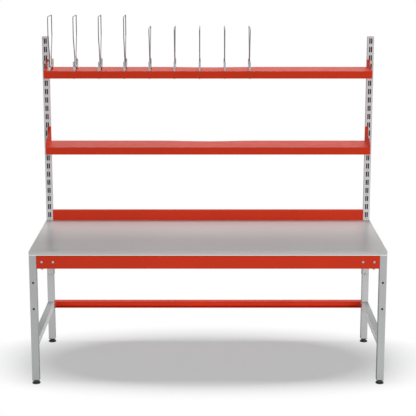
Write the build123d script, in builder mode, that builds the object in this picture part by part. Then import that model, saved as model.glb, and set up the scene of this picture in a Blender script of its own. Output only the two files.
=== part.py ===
from build123d import *
import os

# Packing table: a steel frame with a laminate worktop, two slotted uprights behind it,
# two tray shelves hooked on the uprights, and wire dividers plugged into the upper shelf.
# Millimetres. +Z is up, +Y points to the rear, X runs along the table.
# The origin is on the floor, at the centre of the whole table's outline.

# Worktop
top_width = 1960.0
top_depth = 750.0
top_height = 765.0
top_thickness = 23.0
edge_band = 2.0
edge_round = 0.8

# Square tubes of the frame
tube_size = 40.0
tube_wall = 2.0
tube_bore_corner = 1.0
low_rail_height = 220.0

# Accessory holes in the front legs, and the upright bolts of the rear legs at the same heights
leg_hole_radius = 6.0
leg_hole_top = 587.0
leg_hole_pitch = 150.0

# Levelling feet and the plugs that hold them
pad_radius = 23.0
pad_height = 9.0
pad_round = 2.5
collar_radius = 14.0
collar_height = 9.0
collar_round = 1.5
stem_radius = 5.0
stem_length = 50.0
foot_lift = 3.5
cap_flange = 3.5
cap_chamfer = 0.8
cap_plug = 20.0
cap_gap = 0.2

# Clearances
thread_gap = 0.1
bolt_gap = 0.3
hook_gap = 0.3
slot_gap = 0.5
corner_gap = 0.5

# Folded beams under the worktop
beam_height = 75.0
beam_depth = 35.0
beam_wall = 2.0
beam_round = 1.5
beam_end_gap = 0.5
beam_bolt_inset = 30.0
beam_bolt_spacing = 62.0

# Corner brackets between the legs and the beams
corner_plate = 3.0
corner_margin = 20.0
corner_bolt_rise = 18.0
flange_bolt_setback = 15.0

# Fasteners
dome_radius = 6.6
dome_height = 4.5
dome_socket = 2.5
dome_socket_depth = 2.2
bolt_radius = 4.0
bolt_head_flats = 13.0
bolt_head_height = 5.3
bolt_flange_radius = 8.5
bolt_flange_height = 1.6
bolt_nut_height = 6.5
bolt_tail = 2.5
small_radius = 3.0
small_head_flats = 10.0
small_head_height = 4.0
small_flange_radius = 6.0
small_flange_height = 1.2
small_nut_height = 5.0
small_tail = 1.5
screw_radius = 2.4
screw_head_radius = 4.5
screw_head_height = 3.0
screw_bite = 16.0
screw_inset = 100.0
screw_count = 5
shelf_screw_radius = 2.5
shelf_screw_head = 4.6
shelf_screw_head_height = 2.4
shelf_nut_flats = 8.0
shelf_nut_height = 4.0

# Lower stretcher between the rear legs
stretcher_size = 40.0
stretcher_wall = 2.0
stretcher_height = 222.0
stretcher_bolt_spacing = 18.0

# Upstand behind the worktop
upstand_above = 61.0
upstand_below = 15.0
upstand_wall = 2.0
upstand_bolt_inset = 19.0
end_plate = 3.0

# Slotted uprights
upright_top = 1873.0
upright_tail = 14.0
upright_width = 40.0
upright_depth = 25.0
upright_wall = 2.0
upright_corner = 3.0
access_radius = 8.5
slot_width = 7.5
slot_height = 33.0
slot_pitch = 50.0
slot_columns = 10.5
slot_margin = 25.0
mark_radius = 2.4
mark_pitch = 150.0
mark_rows = 3
mark_drop = 800.0

# Shelves
shelf_depth = 245.0
shelf_lip = 42.0
shelf_sheet = 1.5
shelf_round = 1.2
upper_shelf_seat = 2.0
lower_shelf_seat = 44.0
recess_depth = 24.0
recess_half = 310.0

# Shelf brackets
bracket_sheet = 2.5
bracket_margin = 3.0
bracket_round = 7.0
bracket_tip_above_slot = 41.0
bracket_tail_below_slot = 18.0
bracket_nose = 14.0
upper_nose_rise = 4.0
lower_nose_rise = 28.0
hook_drop = 9.0
hook_spare = 1.0
hook_lip = 5.0
upper_hook_row = 3
lower_hook_row = 11
hook_count = 2
shelf_screw_inset = 40.0

# Wire dividers and the clips that hold them
tongue_pitch = 48.0
tongue_margin = 20.0
divider_step = 3
tall_count = 4
divider_count = 9
wire_radius = 2.7
wire_bend = 9.0
tall_rise = 312.0
tall_half = 87.0
tall_straight = 111.0
tall_shift = -2.0
short_rise = 246.0
short_half = 109.0
short_straight = 5.0
short_shift = 7.0
neck_half = 34.0
neck_rise = 78.0
clip_width = 10.0
clip_sheet = 2.0
clip_length = 200.0
clip_setback = 3.0
clip_ear = 55.0
clip_saddle = 13.0
clip_saddle_margin = 12.0
clip_ramp = 30.0
clip_inner_bend = 1.0
tongue_width = 7.0
tongue_below = 3.0
rear_tongue = 14.0

# Places worked out from the sizes above
front_proud = max(pad_radius - tube_size / 2, dome_height)
overall_depth = front_proud + top_depth + upright_depth
front_y = front_proud - overall_depth / 2
rear_y = front_y + top_depth
leg_x = (top_width - tube_size) / 2
inner_x = leg_x - tube_size / 2
upright_inner = leg_x - upright_width / 2
front_leg_y = front_y + tube_size / 2
rear_leg_y = rear_y - tube_size / 2
under_top = top_height - top_thickness
cap_bottom = pad_height + collar_height + foot_lift
leg_clearance = cap_bottom + cap_flange
tube_corner = tube_bore_corner + tube_wall
beam_bottom = under_top - beam_height
beam_middle = under_top - beam_height / 2
beam_half = inner_x - beam_end_gap
corner_length = beam_bolt_inset + beam_bolt_spacing + corner_margin
corner_shelf = beam_bolt_inset + corner_margin
corner_reach = beam_depth - beam_wall - 2 * corner_gap
slot_x = leg_x - slot_columns / 2
slots_top = upright_top - slot_margin
slot_rows = 1 + int((slots_top - slot_height / 2 - top_height) // slot_pitch)
upper_hook_slot = slots_top - slot_pitch * upper_hook_row
lower_hook_slot = slots_top - slot_pitch * lower_hook_row
shelf_front = rear_y - hook_gap - bracket_sheet - shelf_depth
shelf_half = upright_inner - bracket_sheet
upper_shelf_z = upper_hook_slot - upper_shelf_seat
lower_shelf_z = lower_hook_slot - lower_shelf_seat
clip_front = shelf_front + clip_setback
clip_bend = clip_inner_bend + clip_sheet
clip_saddle_half = neck_half + clip_saddle_margin
tongues_each_side = int((shelf_half - tongue_margin) // tongue_pitch)
tongue_count = 2 * tongues_each_side + 1
leg_holes = [leg_hole_top, leg_hole_top - leg_hole_pitch]
upright_bottom = leg_holes[-1] - upright_tail
sides = {"left": -1, "right": 1}
ends = {"front": -1, "rear": 1}

os.makedirs("parts", exist_ok=True)


def front_plane(y):
    """Upright plane across the table at this depth: local x is X and local y is Z."""
    return Plane.XZ.offset(-y)


def side_plane(x):
    """Upright plane along the depth at this X: local x is Y and local y is Z."""
    return Plane.YZ.offset(x)


def facing(x, y, z, direction):
    """Place whose own z axis points in this direction."""
    return Plane(origin=(x, y, z), z_dir=direction).location


def save(piece, name):
    """Label a finished piece and write its file."""
    piece.label = name
    export_step(piece, f"parts/{name}.step")


# Worktop board with pilot holes for its screws, and its edge band

screw_spacing = 2 * (inner_x - screw_inset) / (screw_count - 1)
screw_places = [
    (screw_spacing * (index - (screw_count - 1) / 2), y)
    for index in range(screw_count)
    for y in (front_y + beam_depth / 2, rear_y - beam_depth / 2)
]

with BuildPart() as worktop:
    with BuildSketch(Plane.XY.offset(under_top)):
        with Locations((0, front_y + top_depth / 2)):
            Rectangle(top_width - 2 * edge_band, top_depth - 2 * edge_band)
    extrude(amount=top_thickness)
    with BuildSketch(Plane.XY.offset(under_top)):
        with Locations(*screw_places):
            Circle(screw_radius + thread_gap)
    extrude(amount=screw_bite + thread_gap, mode=Mode.SUBTRACT)
save(worktop.part, "worktop")

with BuildPart() as worktop_edge:
    with BuildSketch(Plane.XY.offset(under_top)):
        with Locations((0, front_y + top_depth / 2)):
            Rectangle(top_width, top_depth)
    extrude(amount=top_thickness)
    fillet(worktop_edge.edges().filter_by(Axis.Z), radius=edge_band)
    fillet(worktop_edge.faces().sort_by(Axis.Z)[-1].edges(), radius=edge_round)
    with BuildSketch(Plane.XY.offset(under_top)):
        with Locations((0, front_y + top_depth / 2)):
            Rectangle(top_width - 2 * edge_band, top_depth - 2 * edge_band)
    extrude(amount=top_thickness, mode=Mode.SUBTRACT)
save(worktop_edge.part, "worktop_edge")


# Legs and cross rails

def square_tube(plane, length):
    """Round-cornered square tube that starts at this plane."""
    with BuildPart() as tube:
        with BuildSketch(plane):
            RectangleRounded(tube_size, tube_size, tube_corner)
            bore = tube_size - 2 * tube_wall
            RectangleRounded(bore, bore, tube_bore_corner, mode=Mode.SUBTRACT)
        extrude(amount=length)
    return tube.part


corner_bolt_heights = [beam_middle - corner_bolt_rise, beam_middle + corner_bolt_rise]
corner_bolt_reach = corner_reach / 2 + beam_wall + corner_plate / 2
stretcher_middle = stretcher_height + stretcher_size / 2
stretcher_bolt_heights = [
    stretcher_middle - stretcher_bolt_spacing / 2,
    stretcher_middle + stretcher_bolt_spacing / 2,
]

for side_name, side in sides.items():
    for end_name, end in ends.items():
        leg_y = front_leg_y if end < 0 else rear_leg_y
        outer_y = front_y if end < 0 else rear_y
        wall_plane = side_plane(side * (inner_x + tube_wall / 2))
        with BuildPart() as leg:
            add(square_tube(Plane(origin=(side * leg_x, leg_y, leg_clearance)), under_top - leg_clearance))
            with BuildSketch(wall_plane):
                with Locations(*[(outer_y - end * corner_bolt_reach, z) for z in corner_bolt_heights]):
                    Circle(bolt_radius + bolt_gap)
            extrude(amount=tube_wall, both=True, mode=Mode.SUBTRACT)
            if end < 0:
                with BuildSketch(front_plane(front_y + tube_wall / 2)):
                    with Locations(*[(side * leg_x, z) for z in leg_holes]):
                        Circle(leg_hole_radius)
                extrude(amount=tube_wall, both=True, mode=Mode.SUBTRACT)
            else:
                with BuildSketch(front_plane(rear_leg_y)):
                    with Locations(*[(side * leg_x, z) for z in leg_holes]):
                        Circle(bolt_radius + bolt_gap)
                extrude(amount=tube_size, both=True, mode=Mode.SUBTRACT)
                with BuildSketch(wall_plane):
                    with Locations(*[(rear_leg_y, z) for z in stretcher_bolt_heights]):
                        Circle(small_radius + bolt_gap)
                extrude(amount=tube_wall, both=True, mode=Mode.SUBTRACT)
        save(leg.part, f"leg_{end_name}_{side_name}")

    rail_length = top_depth - 2 * tube_size
    for rail_name, rail_bottom in {"low": low_rail_height, "top": under_top - tube_size}.items():
        rail_start = Plane(
            origin=(side * leg_x, front_y + tube_size, rail_bottom + tube_size / 2),
            z_dir=(0, 1, 0),
        )
        save(square_tube(rail_start, rail_length), f"{rail_name}_rail_{side_name}")


# Tube plugs and levelling feet

for side_name, side in sides.items():
    for end_name, end in ends.items():
        leg_y = front_leg_y if end < 0 else rear_leg_y
        corner_name = f"{end_name}_{side_name}"
        with BuildPart() as leg_plug:
            with BuildSketch(Plane(origin=(side * leg_x, leg_y, cap_bottom))):
                RectangleRounded(tube_size, tube_size, tube_corner)
            extrude(amount=cap_flange)
            chamfer(leg_plug.faces().sort_by(Axis.Z)[0].edges(), length=cap_chamfer)
            with BuildSketch(Plane(origin=(side * leg_x, leg_y, leg_clearance))):
                plug = tube_size - 2 * tube_wall - 2 * cap_gap
                RectangleRounded(plug, plug, tube_bore_corner)
            extrude(amount=cap_plug)
            with Locations((side * leg_x, leg_y, leg_clearance)):
                Cylinder(stem_radius + thread_gap, 2 * (cap_flange + cap_plug), mode=Mode.SUBTRACT)
        save(leg_plug.part, f"leg_plug_{corner_name}")

        with BuildPart() as foot:
            with BuildSketch(side_plane(side * leg_x)):
                with BuildLine():
                    Polyline(
                        (leg_y, 0),
                        (leg_y + pad_radius, 0),
                        (leg_y + pad_radius, pad_height),
                        (leg_y + collar_radius, pad_height),
                        (leg_y + collar_radius, pad_height + collar_height),
                        (leg_y + stem_radius, pad_height + collar_height),
                        (leg_y + stem_radius, pad_height + collar_height + stem_length),
                        (leg_y, pad_height + collar_height + stem_length),
                        close=True,
                    )
                make_face()
            revolve(axis=Axis((side * leg_x, leg_y, 0), (0, 0, 1)))
            rims = foot.edges().filter_by(GeomType.CIRCLE)
            pad_rim = rims.filter_by_position(Axis.Z, pad_height / 2, pad_height).sort_by(SortBy.RADIUS)[-1]
            fillet(pad_rim, radius=pad_round)
            rims = foot.edges().filter_by(GeomType.CIRCLE)
            collar_rim = rims.group_by(Axis.Z)[-2].sort_by(SortBy.RADIUS)[-1]
            fillet(collar_rim, radius=collar_round)
        save(foot.part, f"foot_{corner_name}")


# Beams under the worktop, open to the inside

def channel(half, web_y, toward, low, high, depth, wall, bend):
    """Channel along X whose web lies at this Y, with flanges that run in the given direction."""
    with BuildPart() as beam:
        with BuildSketch(side_plane(-half)):
            with Locations((web_y + toward * depth / 2, (low + high) / 2)):
                Rectangle(depth, high - low)
            with Locations((web_y + toward * (wall + depth / 2), (low + high) / 2)):
                Rectangle(depth, high - low - 2 * wall, mode=Mode.SUBTRACT)
        extrude(amount=2 * half)
        web = beam.faces().filter_by(Axis.Y).sort_by(Axis.Y)[0 if toward > 0 else -1]
        fillet(web.edges().filter_by(Axis.X), radius=bend)
    return beam.part


beam_bolt_xs = [inner_x - beam_bolt_inset, inner_x - beam_bolt_inset - beam_bolt_spacing]

for end_name, end in ends.items():
    web_y = front_y if end < 0 else rear_y
    flange_bolt_y = web_y - end * flange_bolt_setback
    with BuildPart() as beam:
        add(channel(beam_half, web_y, -end, beam_bottom, under_top, beam_depth, beam_wall, beam_round))
        with BuildSketch(front_plane(web_y)):
            with Locations(*[(side * x, beam_middle) for side in sides.values() for x in beam_bolt_xs]):
                Circle(bolt_radius + bolt_gap)
        extrude(amount=2 * beam_wall, both=True, mode=Mode.SUBTRACT)
        with BuildSketch(Plane.XY.offset(beam_bottom)):
            with Locations(*[(side * beam_bolt_xs[0], flange_bolt_y) for side in sides.values()]):
                Circle(bolt_radius + bolt_gap)
        extrude(amount=2 * beam_wall, both=True, mode=Mode.SUBTRACT)
        with BuildSketch(Plane.XY.offset(under_top)):
            with Locations(*[place for place in screw_places if place[1] * end > 0]):
                Circle(screw_radius + bolt_gap)
        extrude(amount=2 * beam_wall, both=True, mode=Mode.SUBTRACT)
    save(beam.part, f"{end_name}_beam")


# Corner brackets: a face plate behind the beam, a plate on the leg and a small shelf for the flange bolt

corner_low = beam_bottom + beam_wall
corner_high = under_top - beam_wall - corner_gap

for side_name, side in sides.items():
    for end_name, end in ends.items():
        web_y = front_y if end < 0 else rear_y
        inside_y = web_y - end * beam_wall
        reach_y = inside_y - end * corner_reach
        with BuildPart() as corner_bracket:
            with BuildSketch(Plane.XY.offset(corner_low)):
                with BuildLine():
                    Polyline(
                        (side * inner_x, inside_y),
                        (side * (inner_x - corner_length), inside_y),
                        (side * (inner_x - corner_length), inside_y - end * corner_plate),
                        (side * (inner_x - corner_plate), inside_y - end * corner_plate),
                        (side * (inner_x - corner_plate), reach_y),
                        (side * inner_x, reach_y),
                        close=True,
                    )
                make_face()
            extrude(amount=corner_high - corner_low)
            with BuildSketch(Plane.XY.offset(corner_low)):
                with Locations((side * (inner_x - corner_shelf / 2), (inside_y + reach_y) / 2)):
                    Rectangle(corner_shelf, corner_reach)
                with Locations((side * beam_bolt_xs[0], web_y - end * flange_bolt_setback)):
                    Circle(bolt_radius + bolt_gap, mode=Mode.SUBTRACT)
            extrude(amount=corner_plate)
            with BuildSketch(front_plane(inside_y)):
                with Locations(*[(side * x, beam_middle) for x in beam_bolt_xs]):
                    Circle(bolt_radius + bolt_gap)
            extrude(amount=2 * corner_plate, both=True, mode=Mode.SUBTRACT)
            with BuildSketch(side_plane(side * inner_x)):
                with Locations(*[(web_y - end * corner_bolt_reach, z) for z in corner_bolt_heights]):
                    Circle(bolt_radius + bolt_gap)
            extrude(amount=2 * corner_plate, both=True, mode=Mode.SUBTRACT)
        save(corner_bracket.part, f"corner_bracket_{end_name}_{side_name}")


# Lower stretcher, open to the front, and upstand, open to the rear: channels with an end plate in each end

def plated_channel(half, web_y, toward, low, high, depth, wall, hole_places):
    """Channel with an end plate at each end, and bolt holes through the plates."""
    with BuildPart() as beam:
        add(channel(half, web_y, toward, low, high, depth, wall, beam_round))
        for side in sides.values():
            with BuildSketch(side_plane(side * half)):
                with Locations((web_y + toward * (wall + (depth - wall) / 2), (low + high) / 2)):
                    Rectangle(depth - wall, high - low - 2 * wall)
                with Locations(*hole_places):
                    Circle(small_radius + bolt_gap, mode=Mode.SUBTRACT)
            extrude(amount=-side * end_plate)
    return beam.part


stretcher_bolts = [(rear_leg_y, z) for z in stretcher_bolt_heights]
stretcher = plated_channel(
    inner_x,
    rear_y,
    -1,
    stretcher_height,
    stretcher_height + stretcher_size,
    stretcher_size,
    stretcher_wall,
    stretcher_bolts,
)
save(stretcher, "lower_stretcher")

upstand_low = top_height - upstand_below
upstand_high = top_height + upstand_above
upstand_bolt_y = rear_y + upright_depth / 2
upstand_bolts = [
    (upstand_bolt_y, upstand_low + upstand_bolt_inset),
    (upstand_bolt_y, upstand_high - upstand_bolt_inset),
]
upstand = plated_channel(
    upright_inner,
    rear_y,
    1,
    upstand_low,
    upstand_high,
    upright_depth,
    upstand_wall,
    upstand_bolts,
)
save(upstand, "rear_upstand")


# Slotted uprights: tubes bolted behind the rear legs, with holes in the rear wall to reach the nuts

slots_middle = slots_top - slot_pitch * (slot_rows - 1) / 2
marks_middle = upright_top - mark_drop - mark_pitch * (mark_rows - 1) / 2
upright_y = rear_y + upright_depth / 2
upright_bore = (upright_width - 2 * upright_wall, upright_depth - 2 * upright_wall)

for side_name, side in sides.items():
    with BuildPart() as upright:
        with BuildSketch(Plane.XY.offset(upright_bottom)):
            with Locations((side * leg_x, upright_y)):
                RectangleRounded(upright_width, upright_depth, upright_corner)
                RectangleRounded(*upright_bore, upright_corner - upright_wall, mode=Mode.SUBTRACT)
        extrude(amount=upright_top - upright_bottom)
        with BuildSketch(front_plane(rear_y)):
            with Locations((side * leg_x, slots_middle)):
                with GridLocations(slot_columns, slot_pitch, 2, slot_rows):
                    SlotOverall(slot_height, slot_width, rotation=90)
            with Locations((side * leg_x, marks_middle)):
                with GridLocations(mark_pitch, mark_pitch, 1, mark_rows):
                    Circle(mark_radius)
            with Locations(*[(side * leg_x, z) for z in leg_holes]):
                Circle(bolt_radius + bolt_gap)
        extrude(amount=2 * upright_wall, both=True, mode=Mode.SUBTRACT)
        with BuildSketch(side_plane(side * upright_inner)):
            with Locations(*upstand_bolts):
                Circle(small_radius + bolt_gap)
        extrude(amount=2 * upright_wall, both=True, mode=Mode.SUBTRACT)
        with BuildSketch(front_plane(rear_y + upright_depth)):
            with Locations(*[(side * leg_x, z) for z in leg_holes]):
                Circle(access_radius)
        extrude(amount=2 * upright_wall, both=True, mode=Mode.SUBTRACT)
    save(upright.part, f"upright_{side_name}")


# Tray shelves with a shallow cable recess in the rear edge

recess_arc = (recess_half**2 + recess_depth**2) / (4 * recess_depth)


def tray_outline(inset):
    """Plan outline of a tray, this far inside its outer faces."""
    half = shelf_half - inset
    near = shelf_front + inset
    far = shelf_front + shelf_depth - inset
    lead = recess_arc - inset
    swing = recess_arc + inset
    share = lead / (lead + swing)
    turn_x = recess_half * (1 - share)
    turn_y = far - recess_depth * share
    with BuildLine() as outline:
        Polyline((-recess_half, far), (-half, far), (-half, near))
        Line((-half, near), (half, near))
        Polyline((half, near), (half, far), (recess_half, far))
        RadiusArc((recess_half, far), (turn_x, turn_y), -lead)
        RadiusArc((turn_x, turn_y), (0, far - recess_depth), swing)
        RadiusArc((0, far - recess_depth), (-turn_x, turn_y), swing)
        RadiusArc((-turn_x, turn_y), (-recess_half, far), -lead)
    return outline.line


tray_screws = [shelf_front + shelf_screw_inset, shelf_front + shelf_depth - shelf_screw_inset]
shelves = {"upper": upper_shelf_z, "lower": lower_shelf_z}
tongue_centres = [clip_front + clip_sheet / 2, clip_front + clip_length - clip_sheet / 2]

for shelf_name, shelf_z in shelves.items():
    with BuildPart() as shelf:
        with BuildSketch(Plane.XY.offset(shelf_z)):
            add(tray_outline(0))
            make_face()
        extrude(amount=-shelf_lip)
        with BuildSketch(Plane.XY.offset(shelf_z - shelf_sheet)):
            add(tray_outline(shelf_sheet))
            make_face()
        extrude(amount=-shelf_lip, mode=Mode.SUBTRACT)
        top_edges = shelf.edges().filter_by(Axis.X).filter_by_position(Axis.Z, shelf_z, shelf_z)
        fillet(top_edges.sort_by(Axis.Y)[0], radius=shelf_round)
        with BuildSketch(side_plane(0)):
            with Locations(*[(y, shelf_z - shelf_lip / 2) for y in tray_screws]):
                Circle(shelf_screw_radius + thread_gap)
        extrude(amount=top_width, both=True, mode=Mode.SUBTRACT)
        if shelf_name == "upper":
            with BuildSketch(Plane.XY.offset(shelf_z)):
                for tongue_y in tongue_centres:
                    with Locations((0, tongue_y)):
                        with GridLocations(tongue_pitch, tongue_pitch, tongue_count, 1):
                            Rectangle(tongue_width + 2 * slot_gap, clip_sheet + 2 * slot_gap)
            extrude(amount=-2 * shelf_sheet, mode=Mode.SUBTRACT)
    save(shelf.part, f"{shelf_name}_shelf")


# Shelf brackets: a cheek at the tray's end, a flange on the upright's face and two hooks in its slots

bracket_back = rear_y - hook_gap
bracket_face = bracket_back - bracket_sheet
bracket_flange = bracket_sheet + slot_x - upright_inner + bracket_margin
hook_catch = rear_y + upright_wall + hook_gap
shelf_lift = hook_drop + hook_spare
slot_end_rise = slot_width / 2 - (slot_width**2 - bracket_sheet**2) ** 0.5 / 2
hook_neck = slot_height - 2 * slot_end_rise - shelf_lift - 3 * hook_gap
brackets = {"upper": (upper_hook_slot, upper_nose_rise), "lower": (lower_hook_slot, lower_nose_rise)}

for shelf_name, (top_slot, nose_rise) in brackets.items():
    shelf_z = shelves[shelf_name]
    hook_slots = [top_slot - slot_pitch * index for index in range(hook_count)]
    tip_z = hook_slots[0] + bracket_tip_above_slot
    tail_z = min(hook_slots[-1] - bracket_tail_below_slot, shelf_z - shelf_lip)
    for side_name, side in sides.items():
        with BuildPart() as bracket:
            with BuildSketch(side_plane(side * upright_inner)):
                with BuildLine():
                    Polyline(
                        (shelf_front, shelf_z - shelf_lip),
                        (shelf_front, shelf_z),
                        (shelf_front + bracket_nose, shelf_z + nose_rise),
                        (bracket_back, tip_z),
                        (bracket_back, tail_z),
                        close=True,
                    )
                make_face()
                with Locations(*[(y, shelf_z - shelf_lip / 2) for y in tray_screws]):
                    Circle(shelf_screw_radius + thread_gap, mode=Mode.SUBTRACT)
            extrude(amount=-side * bracket_sheet)
            with BuildSketch(front_plane(bracket_back)):
                with Locations((side * (shelf_half + bracket_flange / 2), (tip_z + tail_z) / 2)):
                    Rectangle(bracket_flange, tip_z - tail_z)
            extrude(amount=bracket_sheet)
            flange_ends = bracket.edges().filter_by(Axis.Y).group_by(Axis.X)[0 if side < 0 else -1]
            fillet(flange_ends, radius=bracket_round)
            with BuildSketch(side_plane(side * slot_x)):
                for slot_z in hook_slots:
                    rest_z = slot_z - slot_height / 2 + slot_end_rise + hook_gap
                    with BuildLine():
                        Polyline(
                            (bracket_face, rest_z),
                            (hook_catch, rest_z),
                            (hook_catch, rest_z - hook_drop),
                            (hook_catch + hook_lip, rest_z - hook_drop),
                            (hook_catch + hook_lip, rest_z + hook_neck),
                            (bracket_face, rest_z + hook_neck),
                            close=True,
                        )
                    make_face()
            extrude(amount=bracket_sheet / 2, both=True)
        save(bracket.part, f"{shelf_name}_bracket_{side_name}")


# Wire dividers: a loop that narrows to a neck, welded on the saddle of its clip

clip_middle = clip_front + clip_length / 2
wire_bottom = upper_shelf_z + clip_saddle + clip_sheet + wire_radius


def divider_loop(x, rise, half, straight, shift):
    """Closed wire loop in an upright plane along the depth."""
    loop_top = upper_shelf_z + rise - wire_radius
    shoulder = loop_top - wire_bend - straight
    middle = clip_middle + shift
    with BuildPart() as loop:
        with BuildLine(side_plane(x)) as path:
            FilletPolyline(
                (clip_middle + neck_half, wire_bottom),
                (clip_middle + neck_half, upper_shelf_z + neck_rise),
                (middle + half, shoulder),
                (middle + half, loop_top),
                (middle - half, loop_top),
                (middle - half, shoulder),
                (clip_middle - neck_half, upper_shelf_z + neck_rise),
                (clip_middle - neck_half, wire_bottom),
                radius=wire_bend,
                close=True,
            )
        with BuildSketch(Plane(origin=path.line @ 0, z_dir=path.line % 0)):
            Circle(wire_radius)
        sweep()
    return loop.part


def divider_clip(x):
    """Bent strip with an ear at each end, a raised saddle, and tongues for the shelf's slots."""
    rear = clip_front + clip_length
    foot_front = clip_middle - clip_saddle_half - clip_ramp
    foot_rear = clip_middle + clip_saddle_half + clip_ramp
    with BuildPart() as clip:
        with BuildSketch(side_plane(x)):
            with BuildLine():
                strip = FilletPolyline(
                    (clip_front, upper_shelf_z + clip_ear),
                    (clip_front, upper_shelf_z),
                    (foot_front, upper_shelf_z),
                    (clip_middle - clip_saddle_half, upper_shelf_z + clip_saddle),
                    (clip_middle + clip_saddle_half, upper_shelf_z + clip_saddle),
                    (foot_rear, upper_shelf_z),
                    (rear, upper_shelf_z),
                    (rear, upper_shelf_z + clip_ear),
                    radius=clip_bend,
                )
                offset(strip, amount=clip_sheet, side=Side.LEFT)
            make_face()
        extrude(amount=clip_width / 2, both=True)
        ear_tips = clip.edges().filter_by(Axis.Y).group_by(Axis.Z)[-1]
        fillet(ear_tips, radius=clip_width / 2 - clip_sheet / 2)
        tongues = {
            clip_front + clip_sheet / 2: shelf_lip + tongue_below,
            rear - clip_sheet / 2: rear_tongue,
        }
        for tongue_y, tongue_depth in tongues.items():
            with BuildSketch(Plane.XY.offset(upper_shelf_z + clip_bend + clip_sheet)):
                with Locations((x, tongue_y)):
                    Rectangle(tongue_width, clip_sheet)
            extrude(amount=-tongue_depth - clip_bend - clip_sheet)
    return clip.part


for index in range(divider_count):
    divider_x = tongue_pitch * (index * divider_step - tongues_each_side)
    if index < tall_count:
        loop_part = divider_loop(divider_x, tall_rise, tall_half, tall_straight, tall_shift)
    else:
        loop_part = divider_loop(divider_x, short_rise, short_half, short_straight, short_shift)
    save(loop_part, f"divider_wire_{index + 1}")
    save(divider_clip(divider_x), f"divider_clip_{index + 1}")


# Fasteners. Each pattern piece stands on its own bearing face and points along its own z axis.

with BuildPart() as dome_bolt:
    with BuildSketch(Plane.XY):
        Circle(dome_radius)
    extrude(amount=-dome_height)
    fillet(dome_bolt.faces().sort_by(Axis.Z)[0].edges(), radius=dome_height * 2 / 3)
    with BuildSketch(Plane.XY.offset(-dome_height)):
        RegularPolygon(dome_socket, 6, major_radius=False)
    extrude(amount=dome_socket_depth, mode=Mode.SUBTRACT)
    with BuildSketch(Plane.XY):
        Circle(bolt_radius)
    extrude(amount=beam_wall + corner_plate + bolt_nut_height + bolt_tail)


def hex_bolt(flats, head, radius, length, flange_radius, flange):
    """Hexagon bolt with a round flange under its head."""
    with BuildPart() as bolt:
        with BuildSketch(Plane.XY):
            Circle(flange_radius)
        extrude(amount=-flange)
        with BuildSketch(Plane.XY.offset(-flange)):
            RegularPolygon(flats / 2, 6, major_radius=False)
        extrude(amount=-head)
        with BuildSketch(Plane.XY):
            Circle(radius)
        extrude(amount=length)
    return bolt.part


def hex_nut(flats, height, radius):
    """Hexagon nut that stands on its bearing face."""
    with BuildPart() as nut:
        with BuildSketch(Plane.XY):
            RegularPolygon(flats / 2, 6, major_radius=False)
            Circle(radius + thread_gap, mode=Mode.SUBTRACT)
        extrude(amount=height)
    return nut.part


bolt_nut = hex_nut(bolt_head_flats, bolt_nut_height, bolt_radius)
small_nut = hex_nut(small_head_flats, small_nut_height, small_radius)
plate_grip = corner_plate + tube_wall
corner_bolt = hex_bolt(
    bolt_head_flats,
    bolt_head_height,
    bolt_radius,
    plate_grip + bolt_nut_height + bolt_tail,
    bolt_flange_radius,
    bolt_flange_height,
)
upright_bolt = hex_bolt(
    bolt_head_flats,
    bolt_head_height,
    bolt_radius,
    tube_size + upright_wall + bolt_nut_height + bolt_tail,
    bolt_flange_radius,
    bolt_flange_height,
)
stretcher_bolt, upstand_bolt = [
    hex_bolt(
        small_head_flats,
        small_head_height,
        small_radius,
        end_plate + wall + small_nut_height + small_tail,
        small_flange_radius,
        small_flange_height,
    )
    for wall in (tube_wall, upright_wall)
]

with BuildPart() as beam_bolts:
    for end in ends.values():
        web_y = front_y if end < 0 else rear_y
        nut_y = web_y - end * (beam_wall + corner_plate)
        bolt_xs = [side * x for side in sides.values() for x in beam_bolt_xs]
        with Locations(*[facing(x, web_y, beam_middle, (0, -end, 0)) for x in bolt_xs]):
            add(dome_bolt.part)
        with Locations(*[facing(x, nut_y, beam_middle, (0, -end, 0)) for x in bolt_xs]):
            add(bolt_nut)
save(beam_bolts.part, "beam_bolts")

with BuildPart() as corner_bolts:
    for side in sides.values():
        for end in ends.values():
            web_y = front_y if end < 0 else rear_y
            bolt_y = web_y - end * corner_bolt_reach
            head_x = side * (inner_x - corner_plate)
            nut_x = side * (inner_x + tube_wall)
            with Locations(*[facing(head_x, bolt_y, z, (side, 0, 0)) for z in corner_bolt_heights]):
                add(corner_bolt)
            with Locations(*[facing(nut_x, bolt_y, z, (side, 0, 0)) for z in corner_bolt_heights]):
                add(bolt_nut)
            flange_x = side * beam_bolt_xs[0]
            flange_y = web_y - end * flange_bolt_setback
            with Locations(facing(flange_x, flange_y, beam_bottom, (0, 0, 1))):
                add(corner_bolt)
            with Locations(facing(flange_x, flange_y, corner_low + corner_plate, (0, 0, 1))):
                add(bolt_nut)
save(corner_bolts.part, "corner_bolts")

with BuildPart() as upright_bolts:
    for side in sides.values():
        with Locations(*[facing(side * leg_x, rear_y - tube_size, z, (0, 1, 0)) for z in leg_holes]):
            add(upright_bolt)
        with Locations(*[facing(side * leg_x, rear_y + upright_wall, z, (0, 1, 0)) for z in leg_holes]):
            add(bolt_nut)
save(upright_bolts.part, "upright_bolts")

with BuildPart() as end_plate_bolts:
    for side in sides.values():
        for bolt, places, face, wall in (
            (stretcher_bolt, stretcher_bolts, inner_x, tube_wall),
            (upstand_bolt, upstand_bolts, upright_inner, upright_wall),
        ):
            with Locations(*[facing(side * (face - end_plate), y, z, (side, 0, 0)) for y, z in places]):
                add(bolt)
            with Locations(*[facing(side * (face + wall), y, z, (side, 0, 0)) for y, z in places]):
                add(small_nut)
save(end_plate_bolts.part, "end_plate_bolts")

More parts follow.
